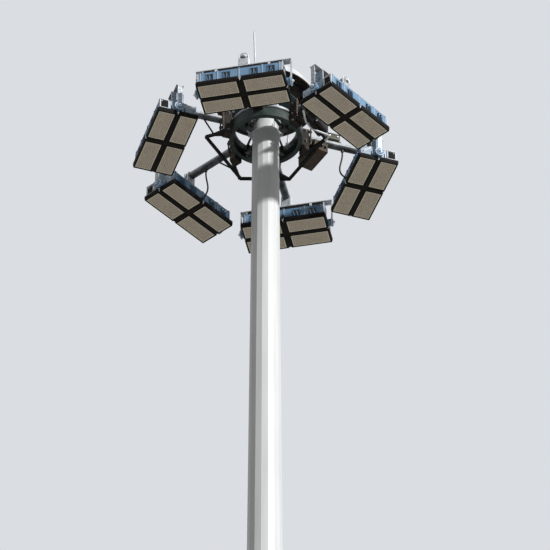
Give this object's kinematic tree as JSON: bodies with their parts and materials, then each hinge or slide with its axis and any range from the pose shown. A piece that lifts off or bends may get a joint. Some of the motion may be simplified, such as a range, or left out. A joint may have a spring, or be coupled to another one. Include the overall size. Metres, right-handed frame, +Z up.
{
  "type": "high mast floodlight tower",
  "caption": "Tapered many-sided high mast with a raising and lowering ring of LED floodlights under a white canopy and a lightning rod.",
  "frame": {"origin": "centre of the base flange's underside", "axes": "+Z up along the mast, -Y outward under the arm of lamp 1"},
  "size_m": [2.4344, 2.346, 26.1134],
  "materials": {
    "mast_paint": "satin",
    "galvanised": "satin",
    "black_paint": "satin",
    "lamp_black": "satin",
    "dark_steel": "satin",
    "heat_sink_aluminium": "satin",
    "led_lens": "gloss",
    "canopy_white": "satin",
    "box_brown": "matte",
    "box_green": "matte",
    "wire_rope": "satin",
    "sheave_nylon": "matte"
  },
  "bodies": {
    "mast": {"base_flange": "mast_paint", "mast_lower": "mast_paint", "access_door": "mast_paint", "mast_middle": "mast_paint", "mast_upper": "mast_paint", "head_tube": "mast_paint", "head_collar": "canopy_white", "head_plate": "dark_steel", "sheaves": "sheave_nylon", "hoist_ropes": "wire_rope", "canopy": "canopy_white", "canopy_brackets": "dark_steel", "lightning_rod": "galvanised", "docking_guides": "black_paint", "guide_rollers": "sheave_nylon"},
    "carriage": {"carriage_ring": "galvanised", "cable_channel": "box_green", "arms": "galvanised", "arm_posts": "dark_steel", "guard_frame": "black_paint", "conduit": "galvanised", "gear_box": "box_brown", "control_box": "black_paint", "terminal_box": "box_green", "yokes": "galvanised"},
    "lamp_1": {"lamp_1_tray": "lamp_black", "lamp_1_panels": "led_lens", "lamp_1_heat_sink": "heat_sink_aluminium", "lamp_1_driver_box": "lamp_black"},
    "lamp_2": {"lamp_2_tray": "lamp_black", "lamp_2_panels": "led_lens", "lamp_2_heat_sink": "heat_sink_aluminium", "lamp_2_driver_box": "lamp_black"},
    "lamp_3": {"lamp_3_tray": "lamp_black", "lamp_3_panels": "led_lens", "lamp_3_heat_sink": "heat_sink_aluminium", "lamp_3_driver_box": "lamp_black"},
    "lamp_4": {"lamp_4_tray": "lamp_black", "lamp_4_panels": "led_lens", "lamp_4_heat_sink": "heat_sink_aluminium", "lamp_4_driver_box": "lamp_black"},
    "lamp_5": {"lamp_5_tray": "lamp_black", "lamp_5_panels": "led_lens", "lamp_5_heat_sink": "heat_sink_aluminium", "lamp_5_driver_box": "lamp_black"},
    "lamp_6": {"lamp_6_tray": "lamp_black", "lamp_6_panels": "led_lens", "lamp_6_heat_sink": "heat_sink_aluminium", "lamp_6_driver_box": "lamp_black"}
  },
  "joints": [
    {"name": "carriage_lift", "type": "slide", "parent": "mast", "child": "carriage", "axis": [0, 0, 1], "range_m": [-22.5, 0], "deforming": ["hoist_ropes"]},
    {"name": "lamp_1_tilt", "type": "hinge", "parent": "carriage", "child": "lamp_1", "pos_m": [0, -0.981, 24.43], "axis": [-1, 0, 0], "range_deg": [-30, 60]},
    {"name": "lamp_2_tilt", "type": "hinge", "parent": "carriage", "child": "lamp_2", "pos_m": [0.84957, -0.4905, 24.43], "axis": [-0.5, -0.866, 0], "range_deg": [-30, 60]},
    {"name": "lamp_3_tilt", "type": "hinge", "parent": "carriage", "child": "lamp_3", "pos_m": [0.84957, 0.4905, 24.43], "axis": [0.5, -0.866, 0], "range_deg": [-30, 60]},
    {"name": "lamp_4_tilt", "type": "hinge", "parent": "carriage", "child": "lamp_4", "pos_m": [0, 0.981, 24.43], "axis": [1, 0, 0], "range_deg": [-30, 60]},
    {"name": "lamp_5_tilt", "type": "hinge", "parent": "carriage", "child": "lamp_5", "pos_m": [-0.84957, 0.4905, 24.43], "axis": [0.5, 0.866, 0], "range_deg": [-30, 60]},
    {"name": "lamp_6_tilt", "type": "hinge", "parent": "carriage", "child": "lamp_6", "pos_m": [-0.84957, -0.4905, 24.43], "axis": [-0.5, 0.866, 0], "range_deg": [-30, 60]}
  ]
}
